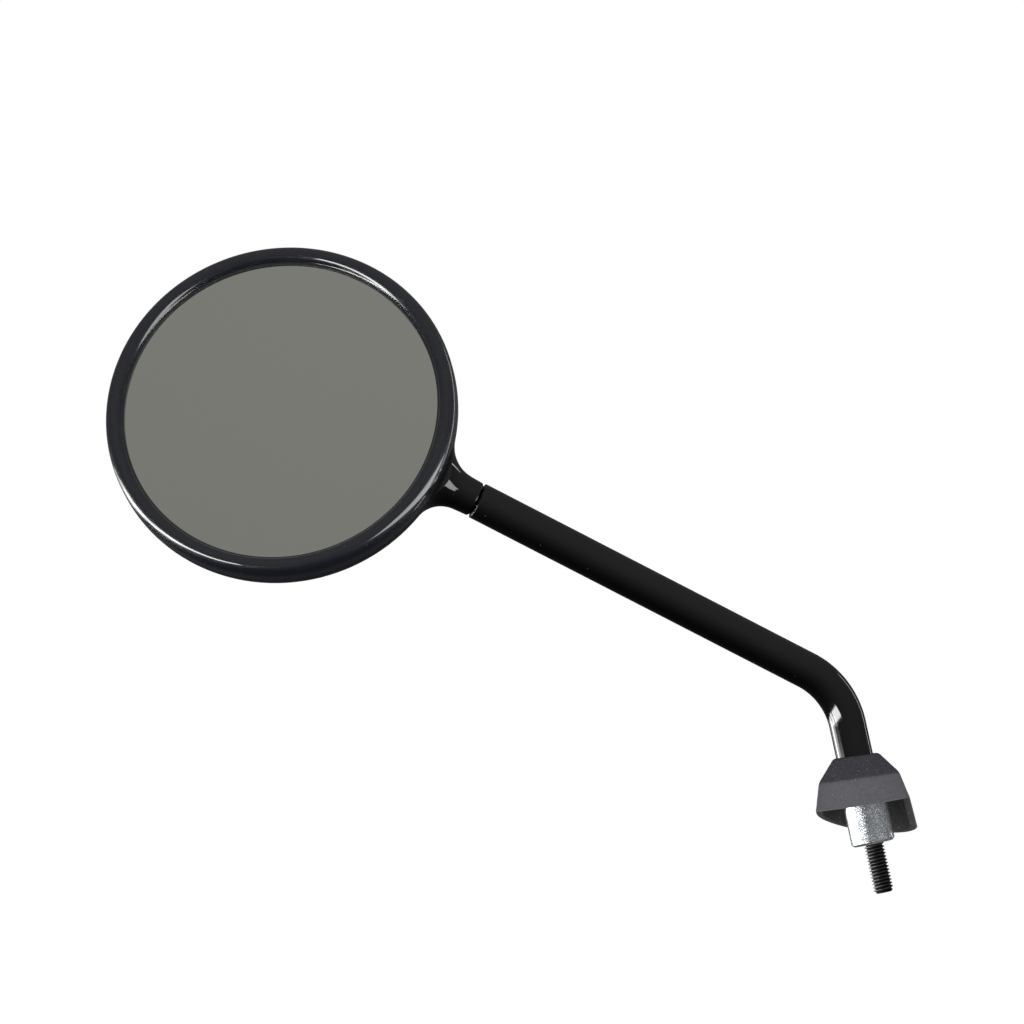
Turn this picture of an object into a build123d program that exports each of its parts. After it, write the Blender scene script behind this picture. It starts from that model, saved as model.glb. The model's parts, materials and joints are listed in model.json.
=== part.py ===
from build123d import *
from math import asin, atan2, cos, degrees, radians, sin, sqrt, tan
import os

# Round mirror on a bent tube arm, for a scooter or motorcycle, in millimetres.
# The origin is the centre of the collar's seat face. +Z runs up the fixing axis into the arm,
# the arm bends over in the XZ plane towards -X, and the mirror looks towards -Y.

# Arm: a bent steel tube with a threaded plug in its head end
tube_diameter = 11.0
tube_wall = 1.5
tube_rim_rounding = 0.2
lower_run = 36.0            # from the seat face up to the start of the bend
bend_angle = 51.6
bend_radius = 23.5
upper_run = 111.0           # from the end of the bend to the tube's rim at the head
plug_length = 16.0
plug_clearance = 0.02

# Fixing foot: zinc collar and threaded stud
collar_diameter = 13.0
collar_height = 16.0
collar_chamfer = 0.7
spigot_length = 10.0
stud_diameter = 6.0
stud_length = 14.8          # free thread below the seat face
stud_engagement = 18.0
stud_chamfer = 0.8
tap_drill_diameter = 5.0    # thread inside the collar is drawn at the tap drill's size
thread_clearance = 0.02
countersink_clearance = 0.4 # the tapped hole opens out this much wider than the stud, all round

# Rubber boot on the arm's lower run: its bell sits askew, and its rim is cut away at the front
boot_below_bend = 9.5       # its top edge, below the start of the arm's bend
boot_bore_clearance = 0.08
boot_grip = 4.4             # length of the bore that grips the tube
boot_tilt = 4.0             # the bell leans this much to one side, while its bore stays true to the tube
boot_pivot_drop = 5.5       # the bell leans about this point of the tube's axis
boot_lip_diameter = 12.8
boot_neck_diameter = 14.9
boot_neck_drop = 0.7        # drops are measured down from the top edge
boot_shoulder_diameter = 24.0
boot_shoulder_drop = 6.5
boot_skirt_diameter = 28.2
boot_skirt_drop = 14.7
boot_hem_diameter = 31.6
boot_hem_drop = 30.0
boot_wall = 2.2
boot_neck_rounding = 0.5
boot_crease_rounding = 1.0
boot_turn = -12.0           # the cut front is turned this much about the fixing axis
rim_front_height = 11.9     # rim heights over the seat face, at the fixing axis
rim_front_slope = -0.055    # slopes of the rim from left to right
rim_back_height = 7.05
rim_back_slope = -0.365
rim_back_fall = 0.25        # slope of the rear rim from its back to the middle
rim_stock = 18.0            # half width of the solids that cut the rim
flap_rounding = 1.5         # lower corner of the flap left at one side

# Ball joint inside the neck: ball, thin bearing cups and seats are spheres about one centre
ball_diameter = 7.5
stem_diameter = 4.5
shank_diameter = 5.0
shank_length = 11.0
shank_chamfer = 0.6
key_across_flats = 2.5
key_depth = 2.6
slip_clearance = 0.08       # between each pair of sliding spheres
cup_wall = 0.7
front_cup_start = 48.0      # cup edges, as angles from the stem's direction
front_cup_end = 84.0
rear_cup_start = 100.0
rear_cup_end = 152.0
tilt_limit = 8.0            # each of the two tilts, either way
stem_clearance = 0.25
bore_clearance = 0.04
pad_start = 2.0             # thrust pad, measured back from the ball's centre
pad_end = 5.3
pad_clearance = 0.08
pad_hole_diameter = 3.6
spring_height = 0.6
spring_sheet = 0.35
spring_inner_diameter = 4.6
spring_outer_diameter = 8.8
ring_thickness = 0.7
ring_inner_diameter = 7.4
ring_bite = 0.45            # how far the retaining ring sits in its groove
ring_clearance = 0.02
ring_opening = 50.0
ring_lug_diameter = 2.2
ring_lug_angle = 40.0
ring_eye_diameter = 0.8

# Head: glass in a half-round bezel, clipped to a domed shell with a trumpet neck
head_diameter = 104.0
bezel_width = 5.6           # from the head's edge in to the opening over the glass
neck_stand_off = 4.0        # ball centre outside the head's edge
ball_setback = 12.0         # ball centre behind the edge plane of the glass
neck_lean = 21.4            # neck axis against the plane of the glass
head_turn = 7.1             # head turned about the arm's upper run
neck_tip_diameter = 10.5
neck_root_diameter = 12.4
neck_tip_sphere = 7.6       # the neck ends on this radius about the ball's centre
neck_tip_rounding = 0.4
neck_gap = 0.6              # from the neck's end to the tube's dished end
neck_root = 12.0            # inner end of the neck's cone, behind the ball's centre
neck_fillet = 10.0
bore_run_out = 14.0
glass_thickness = 2.0
glass_curvature = 1200.0
glass_clearance = 0.2
glass_arris = 0.3
seat_clearance = 0.03
crest_height = 3.0
crest_inset = 2.6           # crest of the bezel, in from the head's edge
lip_height = 0.9
lip_land = 0.5
lip_fall = 0.15
bezel_shoulder = 1.0        # the straight outer wall starts this far behind the glass edge plane
parting_depth = 4.0         # joint of bezel and shell, behind the glass edge plane
parting_chamfer = 0.25
clip_ring_inset = 2.0       # outside of the clip ring, in from the head's edge
clip_ring_wall = 1.5
clip_ring_depth = 1.2       # front of the shell's clip ring, behind the glass edge plane
clip_clearance = 0.05
bead_height = 0.3
bead_half_width = 0.5
bead_depth = 2.6
cushion_thickness = 1.6
cushion_width = 5.3
cushion_clearance = 0.2
dome_depth = 20.0
dome_corner = 12.0
dome_wall = 2.0
hollow_corner = 10.0
rim_wall_run = 1.0          # straight inner wall behind the joint
dome_stock = 16.0           # rim wall left tall while the neck is blended, then trimmed
rib_count = 12
rib_thickness = 1.6
rib_reach = 4.0
rib_height = 6.0
rib_foot = 1.5
rib_root = 0.5

# Shared radii and levels
tube_radius = tube_diameter / 2
tube_bore_radius = tube_radius - tube_wall
spigot_radius = tube_bore_radius - plug_clearance
collar_radius = collar_diameter / 2
stud_radius = stud_diameter / 2
tap_radius = tap_drill_diameter / 2
tapped_radius = tap_radius + thread_clearance
countersink_radius = stud_radius + countersink_clearance
ball_radius = ball_diameter / 2
stem_radius = stem_diameter / 2
shank_radius = shank_diameter / 2
cup_inner_radius = ball_radius + slip_clearance
cup_outer_radius = cup_inner_radius + cup_wall
seat_radius = cup_outer_radius + slip_clearance
bore_radius = seat_radius + bore_clearance
pad_radius = bore_radius - pad_clearance
pad_hole_radius = pad_hole_diameter / 2
groove_radius = bore_radius + ring_bite
spring_back = pad_end + spring_height
ring_back = spring_back + ring_thickness
neck_tip_radius = neck_tip_diameter / 2
neck_root_radius = neck_root_diameter / 2
dish_radius = neck_tip_sphere + neck_gap
head_radius = head_diameter / 2
sight_radius = head_radius - bezel_width
crest_radius = head_radius - crest_inset
clip_ring_radius = head_radius - clip_ring_inset
ball_reach = head_radius + neck_stand_off
clip_ring_bore = clip_ring_radius - clip_ring_wall
glass_radius = clip_ring_bore - glass_clearance
cushion_back = -glass_thickness - cushion_thickness
all_round = 2 * head_radius

# The arm's line: straight up, one bend in the XZ plane, straight on to the ball's centre
turn = radians(bend_angle)
arm_direction = Vector(-sin(turn), 0, cos(turn))
bend_tangent = bend_radius * tan(turn / 2)
bend_corner = Vector(0, 0, lower_run + bend_tangent)
rim_to_ball = sqrt(dish_radius**2 - tube_radius**2)
ball_centre = bend_corner + arm_direction * (bend_tangent + upper_run + rim_to_ball)

# Neck section: x runs from the ball's centre down the arm, y is the distance from the arm's axis
neck_direction = arm_direction * -1
neck_section = Plane(origin=ball_centre, x_dir=neck_direction, z_dir=(0, 1, 0))
neck_plane = Plane(origin=ball_centre, x_dir=(0, -1, 0), z_dir=neck_direction)
neck_axis = Axis(ball_centre, neck_direction)

# Head directions: facing is the glass's outward normal, reach points from its centre to the neck
lean = radians(neck_lean)
spin = radians(head_turn)
arm_side = Vector(cos(turn), 0, sin(turn))
look = Vector(0, -1, 0) * cos(spin) + arm_side * sin(spin)
facing = look * cos(lean) - neck_direction * sin(lean)
reach = neck_direction * cos(lean) + look * sin(lean)
head_centre = ball_centre - reach * ball_reach + facing * ball_setback
head_plane = Plane(origin=head_centre, x_dir=reach, z_dir=facing)
head_axis = Axis(head_centre, facing)


def head_section(angle):
    # half plane through the head's axis: x is the radius, y runs forward from the glass edge plane
    outward = reach * cos(radians(angle)) + facing.cross(reach) * sin(radians(angle))
    return Plane(origin=head_centre, x_dir=outward, z_dir=outward.cross(facing))


def glass_rise(radius):
    # height of the curved front of the glass over its own edge
    centre_to_edge = sqrt(glass_curvature**2 - glass_radius**2)
    return sqrt(glass_curvature**2 - radius**2) - centre_to_edge


def bowl(radius, level, depth, corner):
    # section of a bowl below its rim: a corner arc, then a wide arc to the axis; gives the deepest point
    wide = ((radius - corner) ** 2 + depth**2 - corner**2) / (2 * (depth - corner))
    meet = degrees(atan2(wide - depth, radius - corner))
    CenterArc((radius - corner, level), corner, 0, -meet)
    CenterArc((0, level - depth + wide), wide, -90, 90 - meet)
    return (0, level - depth)


def bead_points(clearance):
    # snap bead on the clip ring, or its groove in the bezel with the clearance added
    half = bead_half_width + clearance
    inner = clip_ring_radius - bead_height
    crown = clip_ring_radius + bead_height + clearance
    return [(inner, -bead_depth - 2 * half), (crown, -bead_depth), (inner, -bead_depth + 2 * half)]


def save(piece, label):
    piece.label = label
    export_step(piece, "parts/" + label + ".step")


os.makedirs("parts", exist_ok=True)

# Arm tube: swept round its bend, with the head end dished to a sphere about the ball's centre
with BuildPart() as stalk_tube:
    with BuildLine() as arm_line:
        FilletPolyline((0, 0, collar_height), bend_corner, ball_centre, radius=bend_radius)
    with BuildSketch(Plane.XY.offset(collar_height)):
        Circle(tube_radius)
        Circle(tube_bore_radius, mode=Mode.SUBTRACT)
    sweep(path=arm_line.wires()[0])
    with Locations(ball_centre):
        Sphere(dish_radius, mode=Mode.SUBTRACT)
    dish_edges = stalk_tube.edges().filter_by(GeomType.BSPLINE)
    fillet(dish_edges.sort_by(SortBy.LENGTH)[-1], tube_rim_rounding)
save(stalk_tube.part, "stalk_tube")

# Threaded plug brazed into the tube's head end and dished with it
plug_bore = shank_radius + thread_clearance
plug_end = dish_radius + plug_length
plug_bore_angle = degrees(asin(plug_bore / dish_radius))
plug_rim_angle = degrees(asin(spigot_radius / dish_radius))
with BuildPart() as head_plug:
    with BuildSketch(neck_section):
        with BuildLine():
            dish = CenterArc((0, 0), dish_radius, plug_bore_angle, plug_rim_angle - plug_bore_angle)
            Polyline(dish @ 1, (plug_end, spigot_radius), (plug_end, plug_bore), dish @ 0)
        make_face()
    revolve(axis=neck_axis)
save(head_plug.part, "head_plug")

# Collar: turned bush with a spigot up into the tube and a countersunk tapped hole through it
with BuildPart() as collar:
    with BuildSketch(Plane.XZ):
        with BuildLine():
            Polyline(
                (countersink_radius, 0),
                (collar_radius, 0),
                (collar_radius, collar_height),
                (spigot_radius, collar_height),
                (spigot_radius, collar_height + spigot_length),
                (tapped_radius, collar_height + spigot_length),
                (tapped_radius, countersink_radius - tapped_radius),
                close=True,
            )
        make_face()
    revolve(axis=Axis.Z)
    foot_edges = collar.faces().sort_by(Axis.Z)[0].edges().sort_by(SortBy.LENGTH)
    spigot_edges = collar.faces().sort_by(Axis.Z)[-1].edges().sort_by(SortBy.LENGTH)
    chamfer([foot_edges[-1], spigot_edges[-1]], collar_chamfer)
save(collar.part, "collar")

# Stud: free thread at full diameter below the seat face, slimmer where it is screwed in
with BuildPart() as mount_stud:
    with BuildSketch():
        Circle(stud_radius)
    extrude(amount=-stud_length)
    with BuildSketch():
        Circle(tap_radius)
    extrude(amount=stud_engagement)
    end_edges = mount_stud.edges().group_by(Axis.Z)
    chamfer(end_edges[0] + end_edges[-1], stud_chamfer)
save(mount_stud.part, "mount_stud")

# Rubber boot: a bell in two cones, its rim cut by two planes that leave a flap at one side
boot_bore_radius = tube_radius + boot_bore_clearance
boot_top = lower_run - boot_below_bend
rim_across = Vector(cos(radians(boot_turn)), sin(radians(boot_turn)), 0)
rim_plane = Plane(origin=(0, 0, 0), x_dir=rim_across, z_dir=rim_across.cross(Vector(0, 0, 1)))
boot_up = Vector(0, 0, cos(radians(boot_tilt))) + rim_across * sin(radians(boot_tilt))
boot_pivot = Vector(0, 0, boot_top - boot_pivot_drop)
boot_axis = Axis(boot_pivot, boot_up)
boot_section = Plane(
    origin=boot_pivot + boot_up * boot_pivot_drop,
    x_dir=boot_up.cross(rim_plane.z_dir),
    z_dir=rim_plane.z_dir,
)
with BuildPart() as rubber_boot:
    with BuildSketch(boot_section) as boot_profile:
        with BuildLine():
            Polyline(
                (0, 0),
                (boot_lip_diameter / 2, 0),
                (boot_neck_diameter / 2, -boot_neck_drop),
                (boot_shoulder_diameter / 2, -boot_shoulder_drop),
                (boot_skirt_diameter / 2, -boot_skirt_drop),
                (boot_hem_diameter / 2, -boot_hem_drop),
                (boot_hem_diameter / 2 - boot_wall, -boot_hem_drop),
                (boot_skirt_diameter / 2 - boot_wall, -boot_skirt_drop),
                (boot_shoulder_diameter / 2 - boot_wall, -boot_shoulder_drop - boot_wall / 2),
                (boot_neck_diameter / 2, -boot_grip),
                (0, -boot_grip),
                close=True,
            )
        make_face()
        neck_corner = (boot_neck_diameter / 2, -boot_neck_drop, 0)
        fillet(boot_profile.vertices().sort_by_distance(neck_corner)[0], boot_neck_rounding)
        shoulder = (boot_shoulder_diameter / 2, -boot_shoulder_drop, 0)
        fillet(boot_profile.vertices().sort_by_distance(shoulder)[0], boot_crease_rounding)
    revolve(axis=boot_axis)
    with BuildSketch():
        Circle(boot_bore_radius)
    extrude(amount=lower_run, mode=Mode.SUBTRACT)
    with BuildSketch(rim_plane):
        with BuildLine():
            Polyline(
                (-rim_stock, rim_front_height - rim_front_slope * rim_stock),
                (rim_stock, rim_front_height + rim_front_slope * rim_stock),
                (rim_stock, -rim_stock),
                (-rim_stock, -rim_stock),
                close=True,
            )
        make_face()
    extrude(amount=rim_stock, mode=Mode.SUBTRACT)
    for behind in (0, rim_stock):
        level = rim_back_height - rim_back_fall * behind
        with BuildSketch(rim_plane.offset(-behind)):
            with BuildLine():
                Polyline(
                    (-rim_stock, level - rim_back_slope * rim_stock),
                    (rim_stock, level + rim_back_slope * rim_stock),
                    (rim_stock, -rim_stock),
                    (-rim_stock, -rim_stock),
                    close=True,
                )
            make_face()
    loft(ruled=True, mode=Mode.SUBTRACT)
    flap_middle = (boot_skirt_diameter - boot_wall) / 2
    flap_corner = rim_plane.from_local_coords((flap_middle, rim_back_height + rim_back_slope * flap_middle))
    fillet(rubber_boot.edges().sort_by_distance(flap_corner)[0], flap_rounding)
save(rubber_boot.part, "rubber_boot")

# Ball stud: ball, slim stem and threaded shank turned in one piece, with a key socket in the ball
stem_angle = degrees(asin(stem_radius / ball_radius))
shank_start = dish_radius + shank_chamfer
shank_end = shank_start + shank_length
with BuildPart() as ball_stud:
    with BuildSketch(neck_section):
        with BuildLine():
            ball_arc = CenterArc((0, 0), ball_radius, stem_angle, 180 - stem_angle)
            Polyline(
                ball_arc @ 0,
                (shank_start, stem_radius),
                (shank_start, shank_radius),
                (shank_end - shank_chamfer, shank_radius),
                (shank_end, shank_radius - shank_chamfer),
                (shank_end, 0),
                ball_arc @ 1,
            )
        make_face()
    revolve(axis=neck_axis)
    with BuildSketch(neck_plane.offset(-ball_radius)):
        RegularPolygon(key_across_flats / 2, 6, major_radius=False)
    extrude(amount=key_depth, mode=Mode.SUBTRACT)
save(ball_stud.part, "ball_stud")


def bearing_cup(label, start, end):
    # thin spherical zone between the ball and its seat
    with BuildPart() as cup:
        with BuildSketch(neck_section):
            with BuildLine():
                outside = CenterArc((0, 0), cup_outer_radius, start, end - start)
                inside = CenterArc((0, 0), cup_inner_radius, start, end - start)
                Line(outside @ 0, inside @ 0)
                Line(outside @ 1, inside @ 1)
            make_face()
        revolve(axis=neck_axis)
    save(cup.part, label)


bearing_cup("front_cup", front_cup_start, front_cup_end)
bearing_cup("rear_cup", rear_cup_start, rear_cup_end)

# Thrust pad: presses the rear cup on the ball, with a hole for the key
pad_recess = sqrt(seat_radius**2 - pad_start**2)
pad_throat = sqrt(seat_radius**2 - pad_hole_radius**2)
recess_angle = degrees(atan2(pad_recess, -pad_start))
throat_angle = degrees(atan2(pad_hole_radius, -pad_throat))
with BuildPart() as thrust_pad:
    with BuildSketch(neck_section):
        with BuildLine():
            recess_arc = CenterArc((0, 0), seat_radius, recess_angle, throat_angle - recess_angle)
            Polyline(
                recess_arc @ 0,
                (-pad_start, pad_radius),
                (-pad_end, pad_radius),
                (-pad_end, pad_hole_radius),
                recess_arc @ 1,
            )
        make_face()
    revolve(axis=neck_axis)
save(thrust_pad.part, "thrust_pad")

# Disc spring: a shallow cone that leans from the pad's middle out to the retaining ring
with BuildPart() as disc_spring:
    with BuildSketch(neck_section):
        with BuildLine():
            Polyline(
                (-pad_end, spring_inner_diameter / 2),
                (-spring_back + spring_sheet, spring_outer_diameter / 2),
                (-spring_back, spring_outer_diameter / 2),
                (-pad_end - spring_sheet, spring_inner_diameter / 2),
                close=True,
            )
        make_face()
    revolve(axis=neck_axis)
save(disc_spring.part, "disc_spring")

# Retaining ring: open ring in the bore's groove, with two eyed lugs
ring_inner_radius = ring_inner_diameter / 2
ring_half = radians(ring_opening / 2)
with BuildPart() as retaining_ring:
    with BuildSketch(neck_plane.offset(-ring_back)):
        Circle(groove_radius - ring_clearance)
        Circle(ring_inner_radius, mode=Mode.SUBTRACT)
        for side in (-1, 1):
            lug = radians(side * ring_lug_angle)
            with Locations((ring_inner_radius * cos(lug), ring_inner_radius * sin(lug))):
                Circle(ring_lug_diameter / 2)
                Circle(ring_eye_diameter / 2, mode=Mode.SUBTRACT)
        with BuildLine():
            Polyline(
                (0, 0),
                (seat_radius * 2 * cos(ring_half), seat_radius * 2 * sin(ring_half)),
                (seat_radius * 2 * cos(ring_half), -seat_radius * 2 * sin(ring_half)),
                close=True,
            )
        make_face(mode=Mode.SUBTRACT)
    extrude(amount=ring_thickness)
save(retaining_ring.part, "retaining_ring")

# Rear shell: domed back, trumpet neck with the ball's seat, clip ring and ribs behind the glass
neck_tip_angle = degrees(asin(neck_tip_radius / neck_tip_sphere))
swing = radians(tilt_limit * sqrt(2))
mouth_radius = stem_radius / cos(swing) + stem_clearance
mouth_end = 2 * neck_tip_sphere
inner_level = -parting_depth - rim_wall_run
inner_depth = dome_depth - dome_wall - rim_wall_run
far_section = head_section(180)
with BuildPart() as rear_shell:
    # solid dome with a tall rim, and the neck blended into both
    with BuildSketch(far_section):
        with BuildLine():
            pole = bowl(head_radius, -parting_depth, dome_depth, dome_corner)
            Polyline((head_radius, -parting_depth), (head_radius, dome_stock), (0, dome_stock), pole)
        make_face()
    revolve(axis=head_axis)
    with BuildSketch(neck_section) as neck_profile:
        with BuildLine():
            tip_arc = CenterArc((0, 0), neck_tip_sphere, 0, neck_tip_angle)
            Polyline(tip_arc @ 1, (-neck_root, neck_root_radius), (-neck_root, 0), tip_arc @ 0)
        make_face()
        fillet(neck_profile.vertices().sort_by(Axis.X)[2], neck_tip_rounding)
    revolve(axis=neck_axis)
    fillet(rear_shell.edges(Select.NEW), neck_fillet)
    # hollow of the dome, then the ribs inside it
    with BuildSketch(far_section):
        with BuildLine():
            pole = bowl(clip_ring_bore, inner_level, inner_depth, hollow_corner)
            Polyline((clip_ring_bore, inner_level), (clip_ring_bore, dome_stock), (0, dome_stock), pole)
        make_face()
    revolve(axis=head_axis, mode=Mode.SUBTRACT)
    for rib in range(rib_count):
        with BuildSketch(head_section((rib + 0.5) * 360 / rib_count)):
            with BuildLine():
                Polyline(
                    (clip_ring_bore - rib_reach, cushion_back),
                    (clip_ring_bore + rib_root, cushion_back),
                    (clip_ring_bore + rib_root, cushion_back - rib_height),
                    (clip_ring_bore - rib_foot, cushion_back - rib_height),
                    close=True,
                )
            make_face()
        extrude(amount=rib_thickness / 2, both=True)
    # front trimmed back to the joint and the clip ring, which gets its snap bead
    with BuildSketch(head_plane.offset(-parting_depth)):
        Circle(all_round)
        Circle(clip_ring_radius, mode=Mode.SUBTRACT)
    extrude(amount=all_round, mode=Mode.SUBTRACT)
    with BuildSketch(head_plane.offset(-clip_ring_depth)):
        Circle(all_round)
    extrude(amount=all_round, mode=Mode.SUBTRACT)
    with BuildSketch(far_section):
        with BuildLine():
            Polyline(*bead_points(0), close=True)
        make_face()
    revolve(axis=head_axis)
    # ball seat, bore for the joint's stack, mouth for the stem and groove for the ring
    with Locations(ball_centre):
        Sphere(seat_radius, mode=Mode.SUBTRACT)
    with BuildSketch(neck_section):
        with BuildLine():
            Polyline(
                (mouth_end, 0),
                (mouth_end, mouth_radius + mouth_end * tan(swing)),
                (0, mouth_radius),
                (0, bore_radius),
                (-spring_back + ring_clearance, bore_radius),
                (-spring_back + ring_clearance, groove_radius),
                (-ring_back, groove_radius),
                (-ring_back, bore_radius),
                (-bore_run_out, bore_radius),
                (-bore_run_out, 0),
                close=True,
            )
        make_face()
    revolve(axis=neck_axis, mode=Mode.SUBTRACT)
save(rear_shell.part, "rear_shell")

# Bezel: half-round ring whose lip holds the glass, snapped over the shell's clip ring
lip_radius = sight_radius + lip_land
bezel_bore = clip_ring_radius + clip_clearance
glass_seat = glass_rise(sight_radius) + seat_clearance
crest_rise = crest_height + bezel_shoulder
lip_rise = crest_height - lip_height
with BuildPart() as bezel:
    with BuildSketch(head_section(0)):
        with BuildLine():
            brow = EllipticalCenterArc(
                (crest_radius, -bezel_shoulder), head_radius - crest_radius, crest_rise, 0, arc_size=90
            )
            slope = EllipticalCenterArc(
                (crest_radius, lip_height), crest_radius - lip_radius, lip_rise, 90, arc_size=90
            )
            Polyline(
                slope @ 1,
                (sight_radius, lip_height - lip_fall),
                (sight_radius, glass_seat),
                (clip_ring_bore, glass_seat),
                (clip_ring_bore, clip_clearance - clip_ring_depth),
                (bezel_bore, clip_clearance - clip_ring_depth),
                (bezel_bore, -parting_depth),
                (head_radius - parting_chamfer, -parting_depth),
                (head_radius, -parting_depth + parting_chamfer),
                brow @ 0,
            )
        make_face()
        with BuildLine():
            Polyline(*bead_points(clip_clearance), close=True)
        make_face(mode=Mode.SUBTRACT)
    revolve(axis=head_axis)
save(bezel.part, "bezel")

# Mirror glass: a convex disc of even thickness with a fine arris round its front
arris_radius = glass_radius - glass_arris
with BuildPart() as mirror_glass:
    with BuildSketch(head_section(0)):
        with BuildLine():
            front = ThreePointArc(
                (0, glass_rise(0)),
                (glass_radius / 2, glass_rise(glass_radius / 2)),
                (arris_radius, glass_rise(arris_radius)),
            )
            back = ThreePointArc(
                (0, glass_rise(0) - glass_thickness),
                (glass_radius / 2, glass_rise(glass_radius / 2) - glass_thickness),
                (glass_radius, -glass_thickness),
            )
            Polyline(front @ 1, (glass_radius, -glass_arris), back @ 1)
            Line(front @ 0, back @ 0)
        make_face()
    revolve(axis=head_axis)
save(mirror_glass.part, "mirror_glass")

# Cushion: foam ring that presses the glass from the ribs up to the bezel's lip
cushion_radius = clip_ring_bore - cushion_clearance
cushion_inner_radius = cushion_radius - cushion_width
with BuildPart() as glass_cushion:
    with BuildSketch(head_section(0)):
        with BuildLine():
            Polyline(
                (cushion_inner_radius, cushion_back),
                (cushion_radius, cushion_back),
                (cushion_radius, glass_rise(cushion_radius) - glass_thickness),
                (cushion_inner_radius, glass_rise(cushion_inner_radius) - glass_thickness),
                close=True,
            )
        make_face()
    revolve(axis=head_axis)
save(glass_cushion.part, "glass_cushion")
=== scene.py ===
import json
from math import acos, asin, atan2, cos, degrees, pi, radians, sin, sqrt, tan

import bmesh
import bpy
from mathutils import Matrix, Vector


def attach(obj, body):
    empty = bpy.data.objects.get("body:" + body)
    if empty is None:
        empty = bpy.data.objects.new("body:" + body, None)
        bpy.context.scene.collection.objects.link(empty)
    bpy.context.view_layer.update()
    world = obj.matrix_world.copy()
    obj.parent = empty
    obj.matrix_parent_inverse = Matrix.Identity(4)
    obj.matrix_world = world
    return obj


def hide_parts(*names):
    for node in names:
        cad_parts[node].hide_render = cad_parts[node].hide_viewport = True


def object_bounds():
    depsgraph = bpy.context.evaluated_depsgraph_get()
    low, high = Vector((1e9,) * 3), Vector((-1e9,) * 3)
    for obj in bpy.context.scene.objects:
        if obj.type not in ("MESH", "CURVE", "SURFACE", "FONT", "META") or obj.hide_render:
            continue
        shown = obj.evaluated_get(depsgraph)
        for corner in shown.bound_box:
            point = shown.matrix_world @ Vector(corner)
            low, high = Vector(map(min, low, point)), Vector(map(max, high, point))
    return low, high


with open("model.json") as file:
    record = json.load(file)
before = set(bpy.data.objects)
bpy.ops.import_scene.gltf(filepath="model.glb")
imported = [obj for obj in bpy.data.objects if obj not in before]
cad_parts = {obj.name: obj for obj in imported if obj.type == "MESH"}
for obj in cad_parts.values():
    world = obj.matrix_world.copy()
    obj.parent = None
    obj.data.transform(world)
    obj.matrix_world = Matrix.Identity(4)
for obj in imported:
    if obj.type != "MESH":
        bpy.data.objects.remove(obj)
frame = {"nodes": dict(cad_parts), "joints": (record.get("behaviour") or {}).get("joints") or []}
cadBox = [list(corner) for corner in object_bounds()]
scene = bpy.context.scene
nodes = frame["nodes"]
joints = {joint["name"]: joint for joint in frame["joints"]}
mergeDist = 1e-7    # corners nearer than this are one
print("frame loaded,", len(nodes), "CAD nodes")

# directions of the ball joint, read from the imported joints
ballCentre = Vector(joints["head_spin"]["pos_m"])
neckWay = Vector(joints["head_spin"]["axis"]).normalized()    # from the head down the arm
tiltWay = Vector(joints["head_tilt"]["axis"]).normalized()
panWay = Vector(joints["head_pan"]["axis"]).normalized()

headSet = {"lean": 21.4, "turn": 7.1, "radius": 0.052, "standOff": 0.004, "setback": 0.012}


def headPlace():
    # the head's own axes: x towards the neck, z out of the glass
    lean, turn = radians(headSet["lean"]), radians(headSet["turn"])
    look = panWay * sin(turn) - tiltWay * cos(turn)
    facing = look * cos(lean) - neckWay * sin(lean)
    reach = neckWay * cos(lean) + look * sin(lean)
    centre = ballCentre - reach * (headSet["radius"] + headSet["standOff"]) + facing * headSet["setback"]
    turned = Matrix((reach, facing.cross(reach), facing)).transposed().to_4x4()
    return Matrix.Translation(centre) @ turned


headMatrix = headPlace()


class Value:
    # a node's output that can be used in Python sums
    def __init__(self, recipe, socket):
        self.recipe = recipe
        self.socket = socket

    def maths(self, operation, first, second):
        made = self.recipe.node("ShaderNodeMath", {"operation": operation}, {0: first, 1: second})
        return self.recipe.out(made, "Value")

    def __add__(self, other):
        return self.maths("ADD", self, other)

    def __radd__(self, other):
        return self.maths("ADD", other, self)

    def __sub__(self, other):
        return self.maths("SUBTRACT", self, other)

    def __rsub__(self, other):
        return self.maths("SUBTRACT", other, self)

    def __mul__(self, other):
        return self.maths("MULTIPLY", self, other)

    def __rmul__(self, other):
        return self.maths("MULTIPLY", other, self)

    def root(self):
        return self.maths("POWER", self, 0.5)

    def atLeast(self, other):
        return self.maths("MAXIMUM", self, other)

    def angleFrom(self, ahead):
        # degrees by which this part of a direction turns away from the part ahead
        return self.maths("ARCTAN2", self, ahead) * degrees(1)


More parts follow.
